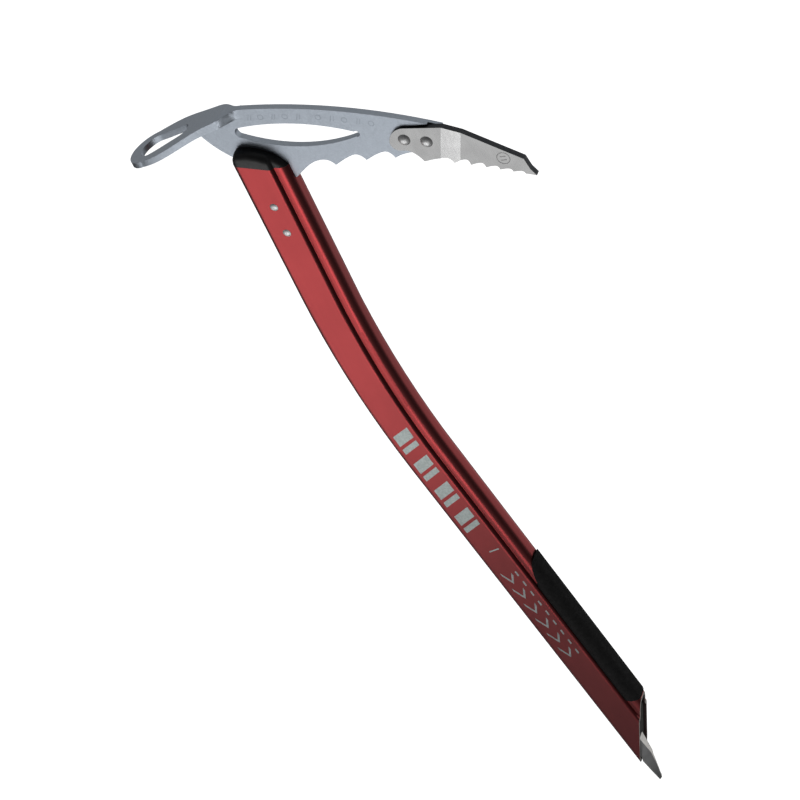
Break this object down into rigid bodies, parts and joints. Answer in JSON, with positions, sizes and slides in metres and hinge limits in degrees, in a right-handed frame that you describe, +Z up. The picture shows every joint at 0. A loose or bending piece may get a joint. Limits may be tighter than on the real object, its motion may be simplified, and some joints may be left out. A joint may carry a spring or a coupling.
{
  "type": "ice axe",
  "caption": "Light mountaineering ice axe: aluminium head with adze and riveted steel pick tip, gently bent anodised tube shaft, rubber grip strip and steel spike.",
  "frame": {"origin": "on the shaft's axis at its upper end, where the head's underside meets the tube", "axes": "+Z up along the upper, straight part of the shaft, +X towards the pick, Y across the head plate"},
  "size_m": [0.2061, 0.0264, 0.495],
  "materials": {
    "head_aluminium": "shot-blasted, satin",
    "pick_steel": "ground, satin",
    "rivet_steel": "satin",
    "plug_plastic": "fine moulded, matte",
    "shaft_anodised": "red anodised, satin",
    "grip_rubber": "grained, matte",
    "spike_steel": "blasted, matte"
  },
  "bodies": {
    "root": {"head": "head_aluminium", "pick_tip": "pick_steel", "pick_rivet_rear": "rivet_steel", "pick_rivet_front": "rivet_steel", "head_plug": "plug_plastic", "shaft": "shaft_anodised", "shaft_rivet_upper": "rivet_steel", "shaft_rivet_lower": "rivet_steel", "grip_pad": "grip_rubber", "spike": "spike_steel", "spike_plug": "plug_plastic"}
  },
  "joints": []
}
